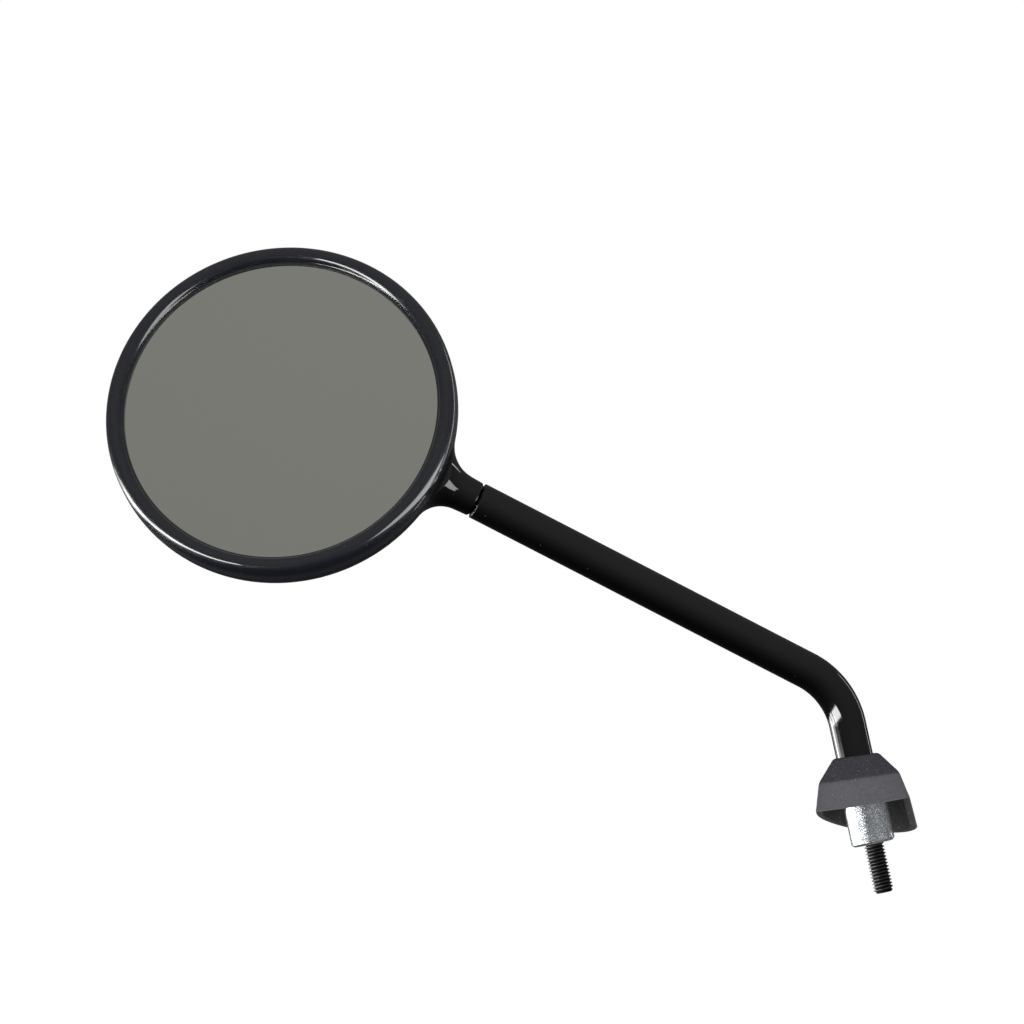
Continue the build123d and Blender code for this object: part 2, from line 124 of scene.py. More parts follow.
class Recipe:
    # one node tree, of a material or of the world
    def __init__(self, owner):
        owner.use_nodes = True
        self.tree = owner.node_tree
        self.tree.nodes.clear()
        self.owner = owner

    def node(self, kind, settings=None, sockets=None):
        made = self.tree.nodes.new(kind)
        for name, setting in (settings or {}).items():
            setattr(made, name, setting)
        for name, source in (sockets or {}).items():
            self.plug(made.inputs[name], source)
        return made

    def plug(self, socket, source):
        if isinstance(source, Value):
            self.tree.links.new(source.socket, socket)
        elif isinstance(source, bpy.types.NodeSocket):
            self.tree.links.new(source, socket)
        else:
            socket.default_value = source

    def out(self, made, name):
        return Value(self, made.outputs[name])

    def places(self):
        return self.node("ShaderNodeTexCoord").outputs["Object"]

    def parts(self, where, axes):
        made = self.node("ShaderNodeSeparateXYZ", sockets={0: where})
        return [self.out(made, axis) for axis in axes]

    def noise(self, where, scale, detail, rough=0.5):
        made = self.node("ShaderNodeTexNoise", sockets={
            "Vector": where, "Scale": scale, "Detail": detail, "Roughness": rough})
        return self.out(made, "Fac")

    def band(self, value, start, full):
        # 0 up to start, 1 from full on, and full may be the smaller
        made = self.node("ShaderNodeMapRange", {"interpolation_type": "SMOOTHSTEP"}, {
            "Value": value, "From Min": start, "From Max": full})
        return self.out(made, "Result")

    def marks(self, where, pattern, edges, share):
        # sparse marks: the peaks of a noise between two edges, and how strongly they show
        return self.band(self.noise(where, *pattern), *edges) * share

    def about(self, pattern, middle, swing):
        # a value that a pattern moves about its middle
        return pattern * swing + (middle - swing / 2)

    def mix(self, factor, first, second):
        made = self.node("ShaderNodeMix", {"data_type": "RGBA"}, {0: factor, 6: first, 7: second})
        return made.outputs[2]

    def bump(self, height, depth):
        made = self.node("ShaderNodeBump", sockets={"Strength": 1.0, "Distance": depth, "Height": height})
        return made.outputs["Normal"]

    def shader(self, sockets):
        return self.node("ShaderNodeBsdfPrincipled", sockets=sockets).outputs[0]

    def blend(self, factor, first, second):
        return self.node("ShaderNodeMixShader", sockets={0: factor, 1: first, 2: second}).outputs[0]

    def finish(self, shader):
        self.node("ShaderNodeOutputMaterial", sockets={"Surface": shader})
        return self.owner

    def surface(self, sockets):
        return self.finish(self.shader(sockets))


def newRecipe(name):
    return Recipe(bpy.data.materials.new(name))


def rgb(red, green, blue):
    return (red, green, blue, 1.0)


def grey(level):
    return rgb(level, level, level)


# in the finishes below a pattern is a noise's scale, detail and roughness, marks are a pattern, its edges
# and their share, and rough is a middle and a swing
paintSet = {"colour": rgb(0.0012, 0.0012, 0.0015), "dust": grey(0.12), "rough": (0.08, 0.06),
            "specular": 0.75, "specks": ((900.0, 2.0), (0.74, 0.80), 0.5), "haze": (60.0, 4.0)}


def glossShader(mat, where):
    specks = mat.marks(where, *paintSet["specks"])
    haze = mat.noise(where, *paintSet["haze"])
    return mat.shader({
        "Base Color": mat.mix(specks, paintSet["colour"], paintSet["dust"]),
        "Roughness": mat.about(haze, *paintSet["rough"]),
        "Specular IOR Level": paintSet["specular"]})


def glossPaint():
    mat = newRecipe("glossPaint")
    return mat.finish(glossShader(mat, mat.places()))


shellSet = {"colour": rgb(0.0090, 0.0092, 0.0105), "dust": rgb(0.10, 0.10, 0.11), "rough": (0.48, 0.10),
            "specular": 0.22, "specks": ((1300.0, 2.0), (0.72, 0.80), 0.4), "grain": (2600.0, 2.0),
            "grainDepth": 0.00001, "satinFrom": 0.010, "satinFull": 0.018}


def shellPlastic():
    # polished neck that runs into a satin dome
    mat = newRecipe("shellPlastic")
    where = mat.places()
    reach = mat.node("ShaderNodeVectorMath", {"operation": "DISTANCE"}, {0: where, 1: ballCentre})
    dome = mat.band(mat.out(reach, "Value"), shellSet["satinFrom"], shellSet["satinFull"])
    specks = mat.marks(where, *shellSet["specks"])
    grain = mat.noise(where, *shellSet["grain"])
    satin = mat.shader({
        "Base Color": mat.mix(specks, shellSet["colour"], shellSet["dust"]),
        "Roughness": mat.about(grain, *shellSet["rough"]),
        "Specular IOR Level": shellSet["specular"],
        "Normal": mat.bump(grain, shellSet["grainDepth"])})
    return mat.finish(mat.blend(dome, glossShader(mat, where), satin))


plasticSet = {"colour": rgb(0.0040, 0.0052, 0.0100), "dust": rgb(0.16, 0.17, 0.19), "rough": (0.36, 0.24),
              "specular": 0.3, "specks": ((1300.0, 2.0), (0.70, 0.78), 0.5), "haze": (150.0, 5.0, 0.6),
              "coat": 1.0, "coatRough": 0.06, "coatIor": 1.63}


def mouldedPlastic():
    mat = newRecipe("mouldedPlastic")
    where = mat.places()
    specks = mat.marks(where, *plasticSet["specks"])
    haze = mat.noise(where, *plasticSet["haze"])
    return mat.surface({
        "Base Color": mat.mix(specks, plasticSet["colour"], plasticSet["dust"]),
        "Roughness": mat.about(haze, *plasticSet["rough"]),
        "Specular IOR Level": plasticSet["specular"],
        "Coat Weight": plasticSet["coat"],
        "Coat Roughness": plasticSet["coatRough"],
        "Coat IOR": plasticSet["coatIor"]})


mirrorSet = {"colour": rgb(0.72, 0.726, 0.655), "rough": (0.03, 0.02), "haze": (40.0, 2.0)}


def silvering():
    mat = newRecipe("silvering")
    haze = mat.noise(mat.places(), *mirrorSet["haze"])
    return mat.surface({
        "Base Color": mirrorSet["colour"],
        "Metallic": 1.0,
        "Roughness": mat.about(haze, *mirrorSet["rough"])})


# the skirt is painted paler below a leaning line, painted light for the light that falls on the lower band;
# a mix of this painted light and random tone weighs the skirt, the cloud and the fine pattern; the inside
# colour is painted shade inside the bell
rubberSet = {"dark": rgb(0.050, 0.049, 0.058), "pale": rgb(0.128, 0.126, 0.138),
             "inside": rgb(0.056, 0.053, 0.054), "speck": rgb(0.6, 0.6, 0.62), "rough": (0.7, 0.16),
             "specular": 0.06,
             "specks": ((2100.0, 1.0), (0.70, 0.76), 0.3), "cloud": (160.0, 5.0, 0.65),
             "fine": (1500.0, 3.0, 0.6), "fineDepth": 0.00006, "paleFrom": 0.0203, "paleFull": 0.0192,
             "paleLean": 0.07, "litSkirtAndTone": (0.5, 0.3, 0.8), "litSkirtAndToneEdges": (0.40, 1.20)}


def bootRubber():
    mat = newRecipe("bootRubber")
    where = mat.places()
    x, z = mat.parts(where, "XZ")
    cloud = mat.noise(where, *rubberSet["cloud"])
    fine = mat.noise(where, *rubberSet["fine"])
    # painted light: the skirt below the crease is made paler where light falls on the lower band, then mixed
    # with random tone
    skirt = mat.band(z + x * rubberSet["paleLean"], rubberSet["paleFrom"], rubberSet["paleFull"])
    skirtShare, cloudShare, fineShare = rubberSet["litSkirtAndTone"]
    litSkirtAndTone = mat.band(skirt * skirtShare + cloud * cloudShare + fine * fineShare, *rubberSet["litSkirtAndToneEdges"])
    # painted shade: corners marked as inside get a darker colour for the shade inside the bell
    inner = mat.out(mat.node("ShaderNodeAttribute", {"attribute_name": "inner"}), "Fac")
    colour = mat.mix(inner, mat.mix(litSkirtAndTone, rubberSet["dark"], rubberSet["pale"]), rubberSet["inside"])
    return mat.surface({
        "Base Color": mat.mix(mat.marks(where, *rubberSet["specks"]), colour, rubberSet["speck"]),
        "Roughness": mat.about(cloud, *rubberSet["rough"]),
        "Specular IOR Level": rubberSet["specular"],
        "Normal": mat.bump(fine, rubberSet["fineDepth"])})


zincSet = {"colour": rgb(0.95, 0.96, 0.97), "dull": rgb(0.40, 0.43, 0.46), "rough": (0.20, 0.12),
           "metal": 0.8, "blotch": (420.0, 5.0, 0.7), "grains": (2800.0, 2.0, 0.6), "grainDepth": 0.00002,
           "grainShare": 0.8, "brightEdges": (0.48, 0.60), "lines": ((1500.0, 2.0), (0.60, 0.66), 0.5),
           "lineStretch": (1.0, 1.0, 0.03)}


def zincPlate():
    mat = newRecipe("zincPlate")
    where = mat.places()
    blotch = mat.noise(where, *zincSet["blotch"])
    grains = mat.noise(where, *zincSet["grains"])
    drawn = mat.node("ShaderNodeMapping", sockets={"Vector": where, "Scale": zincSet["lineStretch"]})
    lines = mat.marks(drawn.outputs[0], *zincSet["lines"])
    share = zincSet["grainShare"]
    bright = mat.band(grains * share + blotch * (1 - share), *zincSet["brightEdges"])
    colour = mat.mix(bright, zincSet["dull"], zincSet["colour"])
    return mat.surface({
        "Base Color": mat.mix(lines, colour, zincSet["dull"]),
        "Metallic": zincSet["metal"],
        "Roughness": mat.about(blotch, *zincSet["rough"]),
        "Normal": mat.bump(grains, zincSet["grainDepth"])})


oxideSet = {"colour": grey(0.006), "worn": rgb(0.15, 0.145, 0.14), "rough": (0.26, 0.12), "groove": 0.35,
            "metal": 0.9, "patch": (700.0, 3.0), "pits": (4000.0, 2.0), "pitDepth": 0.00001,
            "wornFrom": 0.00270, "wornFull": 0.00300}


def blackOxide():
    # worn brighter on the crests of the thread
    mat = newRecipe("blackOxide")
    where = mat.places()
    x, y = mat.parts(where, "XY")
    radius = (x * x + y * y).root()
    crest = mat.band(radius, oxideSet["wornFrom"], oxideSet["wornFull"])
    patch = mat.noise(where, *oxideSet["patch"])
    return mat.surface({
        "Base Color": mat.mix(crest, oxideSet["colour"], oxideSet["worn"]),
        "Metallic": oxideSet["metal"],
        "Roughness": (1 - crest) * oxideSet["groove"] + mat.about(patch, *oxideSet["rough"]),
        "Normal": mat.bump(mat.noise(where, *oxideSet["pits"]), oxideSet["pitDepth"])})


print("finishes ready")


def arc(centre, radii, start, end, count):
    # points of a round stretch of a profile, angles in degrees
    swept = [radians(start + (end - start) * step / count) for step in range(count + 1)]
    return [(centre[0] + radii[0] * cos(a), centre[1] + radii[1] * sin(a)) for a in swept]


def lathe(profile, steps, closed=True):
    # profile of (radius, height) turned about Z
    bm = bmesh.new()
    corners = [bm.verts.new((radius, 0, height)) for radius, height in profile]
    ends = corners[1:] + corners[:1] if closed else corners[1:]
    for first, second in zip(corners, ends):
        bm.edges.new((first, second))
    bmesh.ops.spin(bm, geom=bm.verts[:] + bm.edges[:], cent=(0, 0, 0), axis=(0, 0, 1),
                   angle=2 * pi, steps=steps, use_merge=True)
    return bm


def makePiece(name, bm, finish, body, node, sharp=32, place=None):
    if place:
        bmesh.ops.transform(bm, matrix=place, verts=bm.verts)
    bmesh.ops.remove_doubles(bm, verts=bm.verts, dist=mergeDist)
    bmesh.ops.recalc_face_normals(bm, faces=bm.faces)
    mesh = bpy.data.meshes.new(name)
    bm.to_mesh(mesh)
    bm.free()
    if "custom_normal" in mesh.attributes:
        mesh.attributes.remove(mesh.attributes["custom_normal"])
    mesh.polygons.foreach_set("use_smooth", [True] * len(mesh.polygons))
    mesh.set_sharp_from_angle(angle=radians(sharp))
    mesh.materials.append(finish)
    piece = bpy.data.objects.new(name, mesh)
    scene.collection.objects.link(piece)
    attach(piece, body)
    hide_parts(node)
    print(name, "made,", len(mesh.polygons), "faces")


# arm tube: a ring drawn up, spun round the bend and drawn on to its dished end
tubeSet = {"radius": 0.0055, "bore": 0.004, "bottom": 0.016, "bendStart": 0.036, "bendRadius": 0.0235,
           "dish": 0.0082, "rimRound": 0.0003, "segments": 96, "bendSteps": 36, "rimSteps": 10,
           "dishSteps": 6}


def drawOn(bm, ring, move):
    # extrudes a ring of edges and moves the new one
    made = bmesh.ops.extrude_edge_only(bm, edges=ring)["geom"]
    corners = [part for part in made if isinstance(part, bmesh.types.BMVert)]
    bmesh.ops.transform(bm, matrix=move, verts=corners)
    return [part for part in made if isinstance(part, bmesh.types.BMEdge)]


def ringCorners(ring):
    return list({corner for edge in ring for corner in edge.verts})


def endRing(bm, ring, before, after):
    # next ring of the arm's end, from (place along the arm, radius) to another
    back = Matrix.Translation(-(ballCentre + neckWay * before[0]))
    on = Matrix.Translation(ballCentre + neckWay * after[0])
    return drawOn(bm, ring, on @ Matrix.Scale(after[1] / before[1], 4) @ back)


def endProfile(along):
    # (place along the arm, radius) from the bend's end over the rounded rim and the dish into the bore
    wide, dish, rounding = tubeSet["radius"], tubeSet["dish"], tubeSet["rimRound"]
    rimPlace = sqrt(dish ** 2 - wide ** 2)
    rimAngle = degrees(asin(wide / dish))
    boreAngle = degrees(asin(tubeSet["bore"] / dish))
    back = rounding / tan(radians(90 - rimAngle) / 2)
    dishAngle = rimAngle - degrees(back / dish)
    profile = [(along, wide)]
    profile += arc((rimPlace + back, wide - rounding), (rounding, rounding), 90, 180 + rimAngle,
                   tubeSet["rimSteps"])
    profile += arc((0, 0), (dish, dish), dishAngle, boreAngle, tubeSet["dishSteps"])
    return profile + [(dish + wide, tubeSet["bore"])]


def buildTube():
    bm = bmesh.new()
    bmesh.ops.create_circle(bm, cap_ends=False, segments=tubeSet["segments"], radius=tubeSet["radius"],
                            matrix=Matrix.Translation((0, 0, tubeSet["bottom"])))
    rise = tubeSet["bendStart"] - tubeSet["bottom"]
    ring = drawOn(bm, bm.edges[:], Matrix.Translation((0, 0, rise)))
    turn = acos(-neckWay.z)
    spun = bmesh.ops.spin(bm, geom=ringCorners(ring) + ring, axis=(0, -1, 0), angle=turn,
                          cent=(-tubeSet["bendRadius"], 0, tubeSet["bendStart"]), steps=tubeSet["bendSteps"])
    ring = [part for part in spun["geom_last"] if isinstance(part, bmesh.types.BMEdge)]
    middle = sum((corner.co for corner in ringCorners(ring)), Vector()) / tubeSet["segments"]
    profile = endProfile((middle - ballCentre).dot(neckWay))
    for before, after in zip(profile, profile[1:]):
        ring = endRing(bm, ring, before, after)
    return bm


makePiece("armTube", buildTube(), glossPaint(), "stalk", "stalk_tube")

# collar: turned bush with a bevelled foot and a countersunk bore
collarSet = {"radius": 0.0065, "height": 0.016, "bevel": 0.0007, "spigot": 0.00398, "spigotTop": 0.026,
             "bore": 0.00252, "sink": 0.0034, "segments": 128}


def buildCollar():
    wide, bevel, sink = collarSet["radius"], collarSet["bevel"], collarSet["sink"]
    profile = [(sink, 0), (wide - bevel, 0), (wide, bevel), (wide, collarSet["height"]),
               (collarSet["spigot"], collarSet["height"]), (collarSet["spigot"], collarSet["spigotTop"]),
               (collarSet["bore"], collarSet["spigotTop"]), (collarSet["bore"], sink - collarSet["bore"])]
    return lathe(profile, collarSet["segments"])


makePiece("footCollar", buildCollar(), zincPlate(), "stalk", "collar")

# stud: a true helical thread, cut flat at the seat and bevelled at its end, its flats shares of the pitch
studSet = {"crest": 0.003, "root": 0.00239, "pitch": 0.001, "crestFlat": 1 / 8, "rootFlat": 1 / 4,
           "length": 0.0148, "spareTurns": 2, "bevel": 0.0008, "shank": 0.0025, "shankTop": 0.018,
           "steps": 64, "cutDist": 1e-8, "capDist": 1e-6}


def threadTurn():
    # one turn's outline of (radius, height as a share of the pitch)
    crest, root = studSet["crest"], studSet["root"]
    crestHalf, rootHalf = studSet["crestFlat"] / 2, studSet["rootFlat"] / 2
    return [(root, 0), (root, rootHalf), (crest, 0.5 - crestHalf), (crest, 0.5 + crestHalf),
            (root, 1 - rootHalf), (root, 1)]


def cutThread(bm, height, way):
    # cuts the thread off at a height and caps it there
    everything = bm.verts[:] + bm.edges[:] + bm.faces[:]
    bmesh.ops.bisect_plane(bm, geom=everything, dist=studSet["cutDist"], plane_co=(0, 0, height),
                           plane_no=(0, 0, way), clear_outer=True)
    openEdges = [edge for edge in bm.edges if edge.is_boundary
                 and all(abs(corner.co.z - height) < studSet["capDist"] for corner in edge.verts)]
    bmesh.ops.edgeloop_fill(bm, edges=openEdges)


def buildStud():
    pitch, length, steps = studSet["pitch"], studSet["length"], studSet["steps"]
    turns = round(length / pitch) + studSet["spareTurns"]
    low = -length - pitch
    bm = bmesh.new()
    corners = [bm.verts.new((radius, 0, low + pitch * share)) for radius, share in threadTurn()]
    for first, second in zip(corners, corners[1:]):
        bm.edges.new((first, second))
    bmesh.ops.spin(bm, geom=bm.verts[:] + bm.edges[:], cent=(0, 0, 0), axis=(0, 0, 1), angle=2 * pi * turns,
                   steps=steps * turns, dvec=(0, 0, pitch / steps))
    bmesh.ops.remove_doubles(bm, verts=bm.verts, dist=mergeDist)
    cutThread(bm, 0, 1)
    cutThread(bm, -length, -1)
    for corner in bm.verts:
        room = studSet["crest"] - studSet["bevel"] + (corner.co.z + length)
        wide = corner.co.xy.length
        if wide > room:
            corner.co.xy *= room / wide
    shank, top = studSet["shank"], studSet["shankTop"]
    bmesh.ops.create_cone(bm, cap_ends=True, segments=steps, radius1=shank, radius2=shank, depth=top,
                          matrix=Matrix.Translation((0, 0, top / 2)))
    return bm


makePiece("fixingStud", buildStud(), blackOxide(), "stalk", "mount_stud", sharp=50)

# boot: a bell that leans on the arm, its rim cut low behind and high in front, with a flap at one side;
# points of its wall are (radius, drop below the top), and a rim is a height and its slopes
bootSet = {"top": 0.0265, "pivot": 0.021, "tilt": 4.0, "turn": -12.0, "bore": 0.00558, "grip": 0.0044,
           "wall": 0.0022,
           "outside": [(0.00615, 0.0), (0.0066, 0.00014), (0.00705, 0.00042), (0.00738, 0.00078),
                       (0.00775, 0.00125)],
           "crease": [(0.01145, 0.0058), (0.01182, 0.00634), (0.01206, 0.00686), (0.01228, 0.00752)],
           "skirt": (0.0141, 0.0147), "hem": (0.0158, 0.03), "inside": [(0.0098, 0.0076), (0.00745, 0.0044)],
           "frontRim": (0.0119, -0.055), "backRim": (0.00705, -0.365, 0.25), "flapRound": 0.0015,
           "stepRun": 0.0003, "edgeRound": 0.0004, "roundSteps": 4, "rings": 20, "rimTries": 8,
           "slopeStep": 0.2, "steps": 150, "fineFrom": -9.0, "fineTo": 5.0, "fineSteps": 42,
           "joinDist": 1e-5}


def bootAxes():
    # right and towards the camera in the boot's turned frame
    turn = radians(bootSet["turn"])
    return Vector((cos(turn), sin(turn), 0)), Vector((sin(turn), -cos(turn), 0))


def bootLean():
    # the side and up directions of the leaning bell
    tilt = radians(bootSet["tilt"])
    across, up = bootAxes()[0], Vector((0, 0, 1))
    return across * cos(tilt) - up * sin(tilt), up * cos(tilt) + across * sin(tilt)


def bootPoint(angle, radius, drop):
    side, up = bootLean()
    ahead = bootAxes()[1]
    out = side * radius * cos(angle) + ahead * radius * sin(angle)
    return Vector((0, 0, bootSet["pivot"])) + out + up * (bootSet["top"] - bootSet["pivot"] - drop)


def bootBore(angle, drop):
    # the bore stays true to the tube, its ends lean with the bell
    across, ahead = bootAxes()
    up = bootLean()[1]
    point = (across * cos(angle) + ahead * sin(angle)) * bootSet["bore"]
    height = bootSet["top"] - bootSet["pivot"] - drop
    point.z = bootSet["pivot"] + (height - point.dot(up)) / up.z
    return point


def wallRadius(drop, inset):
    # outer or inner wall of the boot, below its crease
    first = bootSet["inside"][0] if inset else bootSet["crease"][-1]
    middle, last = bootSet["skirt"], bootSet["hem"]
    if drop < middle[1]:
        share = (drop - first[1]) / (middle[1] - first[1])
        return first[0] + (middle[0] - inset - first[0]) * share
    return middle[0] - inset + (last[0] - middle[0]) * (drop - middle[1]) / (last[1] - middle[1])


def wallPoint(angle, drop, inset):
    return bootPoint(angle, wallRadius(drop, inset), drop)


def rimHeight(point):
    # front and back planes of the rim, with the flap's round corner and steep edge between them
    across, ahead = bootAxes()
    right, near = point.dot(across), point.dot(ahead)
    front = bootSet["frontRim"][0] + bootSet["frontRim"][1] * right
    back = bootSet["backRim"][0] + bootSet["backRim"][1] * right + bootSet["backRim"][2] * min(near, 0)
    corner = bootSet["flapRound"]
    rise = corner - sqrt(corner ** 2 - min(max(near + corner, 0), corner) ** 2)
    climb = max(near, 0) / bootSet["stepRun"] * (front - back)
    return min(back + rise + climb, front)


def rimDrop(angle, inset):
    drop = bootSet["skirt"][1]
    for attempt in range(bootSet["rimTries"]):
        point = wallPoint(angle, drop, inset)
        drop += point.z - rimHeight(point)
    return drop


def rimPoint(angle, share):
    # the rim across the wall, share 0 outside and 1 inside
    outer, inner = (wallPoint(angle, rimDrop(angle, inset), inset) for inset in (0, bootSet["wall"]))
    return outer.lerp(inner, share)


def bootColumn(angle):
    # all points of the boot's section at one angle, from the bore's top over the outside to the bore's foot
    inset, rings, rounding = bootSet["wall"], bootSet["rings"], bootSet["edgeRound"]
    column = [bootBore(angle, 0)]
    column += [bootPoint(angle, radius, drop) for radius, drop in bootSet["outside"] + bootSet["crease"]]
    step = radians(bootSet["slopeStep"])
    along = (rimPoint(angle + step, 0.5) - rimPoint(angle - step, 0.5)).normalized()
    outer, inner = rimPoint(angle, 0), rimPoint(angle, 1)
    through = (inner - outer).normalized()
    through = (through - along * through.dot(along)).normalized()
    away = through.cross(along)
    if away.z > 0:
        away = -away
    shares = [ring / rings for ring in range(1, rings)]
    leans = [pi / 2 * turned / bootSet["roundSteps"] for turned in range(bootSet["roundSteps"] + 1)]
    top = bootSet["crease"][-1][1]
    run = rimDrop(angle, 0) - rounding - top
    column += [wallPoint(angle, top + run * share, 0) for share in shares]
    column += [outer + (through * (1 - cos(lean)) - away * (1 - sin(lean))) * rounding for lean in leans]
    column += [inner - (through * (1 - sin(lean)) + away * (1 - cos(lean))) * rounding for lean in leans]
    top = bootSet["inside"][0][1]
    run = rimDrop(angle, inset) - rounding - top
    column += [wallPoint(angle, top + run * share, inset) for share in reversed(shares)]
    column += [bootPoint(angle, radius, drop) for radius, drop in bootSet["inside"]]
    return column + [bootBore(angle, bootSet["grip"])]


def buildBoot():
    # a ring of marked points spun round, coarse then fine at the flap, and set to the boot's columns
    count = len(bootColumn(0.0))
    innerFrom = len(bootSet["outside"]) + len(bootSet["crease"]) + bootSet["rings"] + bootSet["roundSteps"]
    bm = bmesh.new()
    mark = bm.verts.layers.int.new("place")
    inner = bm.verts.layers.float.new("inner")
    start = radians(bootSet["fineTo"])
    for place in range(count):
        lean = 2 * pi * place / count
        wide = 2 + cos(lean)
        bm.verts.new((wide * cos(start), wide * sin(start), sin(lean)))[mark] = place
    bm.verts.ensure_lookup_table()
    for place in range(count):
        bm.edges.new((bm.verts[place], bm.verts[(place + 1) % count]))
    fine = radians(bootSet["fineTo"] - bootSet["fineFrom"])
    ring = bm.verts[:] + bm.edges[:]
    for angle, steps in ((2 * pi - fine, bootSet["steps"]), (fine, bootSet["fineSteps"])):
        spun = bmesh.ops.spin(bm, geom=ring, cent=(0, 0, 0), axis=(0, 0, 1), angle=angle, steps=steps)
        ring = spun["geom_last"]
    bmesh.ops.remove_doubles(bm, verts=bm.verts, dist=bootSet["joinDist"])
    columns = {}
    for corner in bm.verts:
        angle = atan2(corner.co.y, corner.co.x)
        key = round(angle, 5)
        if key not in columns:
            columns[key] = bootColumn(angle)
        corner.co = columns[key][corner[mark]]
        # marks the inside corners, which get the painted shade
        corner[inner] = 1.0 if corner[mark] >= innerFrom else 0.0
    bm.verts.layers.int.remove(mark)
    return bm


makePiece("rubberBoot", buildBoot(), bootRubber(), "boot", "rubber_boot", sharp=50)

# bezel: half-round ring with a fine lip over the glass
bezelSet = {"radius": 0.052, "width": 0.0056, "crestInset": 0.0026, "crest": 0.003, "shoulder": 0.001,
            "lip": 0.0009, "lipLand": 0.0005, "lipFall": 0.00015, "seat": 0.000105, "clipBore": 0.0485,
            "bore": 0.05005, "clipDepth": 0.00115, "parting": 0.004, "bevel": 0.00025, "segments": 288,
            "outerSteps": 22, "innerSteps": 20}


def buildBezel():
    wide, crest, lip = bezelSet["radius"], bezelSet["crest"], bezelSet["lip"]
    crestAt = wide - bezelSet["crestInset"]
    sight = wide - bezelSet["width"]
    lipAt = sight + bezelSet["lipLand"]
    shoulder, seat, parting = bezelSet["shoulder"], bezelSet["seat"], -bezelSet["parting"]
    clipBore, bore, clipDepth = bezelSet["clipBore"], bezelSet["bore"], -bezelSet["clipDepth"]
    profile = arc((crestAt, -shoulder), (wide - crestAt, crest + shoulder), 0, 90, bezelSet["outerSteps"])
    profile += arc((crestAt, lip), (crestAt - lipAt, crest - lip), 90, 180, bezelSet["innerSteps"])[1:]
    profile += [(sight, lip - bezelSet["lipFall"]), (sight, seat), (clipBore, seat), (clipBore, clipDepth),
                (bore, clipDepth), (bore, parting), (wide - bezelSet["bevel"], parting),
                (wide, parting + bezelSet["bevel"])]
    return lathe(profile, bezelSet["segments"])


makePiece("glassBezel", buildBezel(), mouldedPlastic(), "head", "bezel", place=headMatrix)

# glass: convex disc with a fine arris
glassSet = {"radius": 0.0483, "curve": 1.2, "thick": 0.002, "arris": 0.0003, "rings": 24, "segments": 192}


def glassRise(radius):
    curve, wide = glassSet["curve"], glassSet["radius"]
    return sqrt(curve ** 2 - radius ** 2) - sqrt(curve ** 2 - wide ** 2)


def buildGlass():
    rings, wide = glassSet["rings"], glassSet["radius"]
    front = [(wide - glassSet["arris"]) * ring / rings for ring in range(rings + 1)]
    profile = [(radius, glassRise(radius)) for radius in front]
    profile += [(wide, -glassSet["arris"]), (wide, -glassSet["thick"])]
    profile += [(radius, glassRise(radius) - glassSet["thick"]) for radius in reversed(front)]
    return lathe(profile, glassSet["segments"], closed=False)


makePiece("mirrorGlass", buildGlass(), silvering(), "head", "mirror_glass", place=headMatrix)

# rear shell: the CAD form with its corners merged, so that the dome shades evenly over its pole
backSet = {"merge": 3e-6}


def buildShell():
    bm = bmesh.new()
    bm.from_mesh(nodes["rear_shell"].data)
    bmesh.ops.remove_doubles(bm, verts=bm.verts, dist=backSet["merge"])
    bmesh.ops.dissolve_degenerate(bm, edges=bm.edges, dist=backSet["merge"])
    return bm


shellFinish = shellPlastic()
makePiece("backShell", buildShell(), shellFinish, "head", "rear_shell", sharp=40)

# pieces inside the head and the arm, which keep their CAD shape
insideSet = {
    "turnedSteel": {"nodes": ("head_plug", "ball_stud"), "colour": rgb(0.62, 0.62, 0.63), "metal": 1.0,
                    "rough": (0.325, 0.15), "grain": (900.0, 3.0)},
    "bearingPlastic": {"nodes": ("thrust_pad", "front_cup", "rear_cup"), "colour": rgb(0.82, 0.81, 0.76),
                       "metal": 0.0, "rough": (0.475, 0.15), "grain": (700.0, 3.0)},
    "springSteel": {"nodes": ("disc_spring", "retaining_ring"), "colour": rgb(0.30, 0.31, 0.33),
                    "metal": 1.0, "rough": (0.325, 0.15), "grain": (900.0, 3.0)},
    "cushionFoam": {"nodes": ("glass_cushion",), "colour": grey(0.05), "metal": 0.0, "rough": (0.875, 0.15),
                    "grain": (1800.0, 3.0)}}
insideGrain = {"darker": 0.75, "depth": 0.00002}


def insideFinish(name, finishSet):
    mat = newRecipe(name)
    grain = mat.noise(mat.places(), *finishSet["grain"])
    darker = rgb(*[part * insideGrain["darker"] for part in finishSet["colour"][:3]])
    return mat.surface({
        "Base Color": mat.mix(grain, darker, finishSet["colour"]),
        "Metallic": finishSet["metal"],
        "Roughness": mat.about(grain, *finishSet["rough"]),
        "Normal": mat.bump(grain, insideGrain["depth"])})


def dress(node, finish):
    nodes[node].data.materials.clear()
    nodes[node].data.materials.append(finish)


for name, finishSet in insideSet.items():
    finish = insideFinish(name, finishSet)
    for node in finishSet["nodes"]:
        dress(node, finish)
dress("rear_shell", shellFinish)
print("inside pieces finished")

# camera: a long lens at the photograph's angle, tipped over with the picture
cameraSet = {"azimuth": -12.0, "elevation": -3.0, "roll": -12.1, "lens": 150.0, "sensor": 36.0,
             "pixels": 1024, "metresPerPixel": 0.0002966, "originPixel": (873.6, 843.4)}


def viewAxes():
    # the picture's right and up, and the way back to the camera
    azimuth, elevation = radians(cameraSet["azimuth"]), radians(cameraSet["elevation"])
    back = Vector((sin(azimuth) * cos(elevation), -cos(azimuth) * cos(elevation), sin(elevation)))
    right = Vector((0, 0, 1)).cross(back).normalized()
    up = back.cross(right)
    roll = radians(cameraSet["roll"])
    return right * cos(roll) + up * sin(roll), up * cos(roll) - right * sin(roll), back


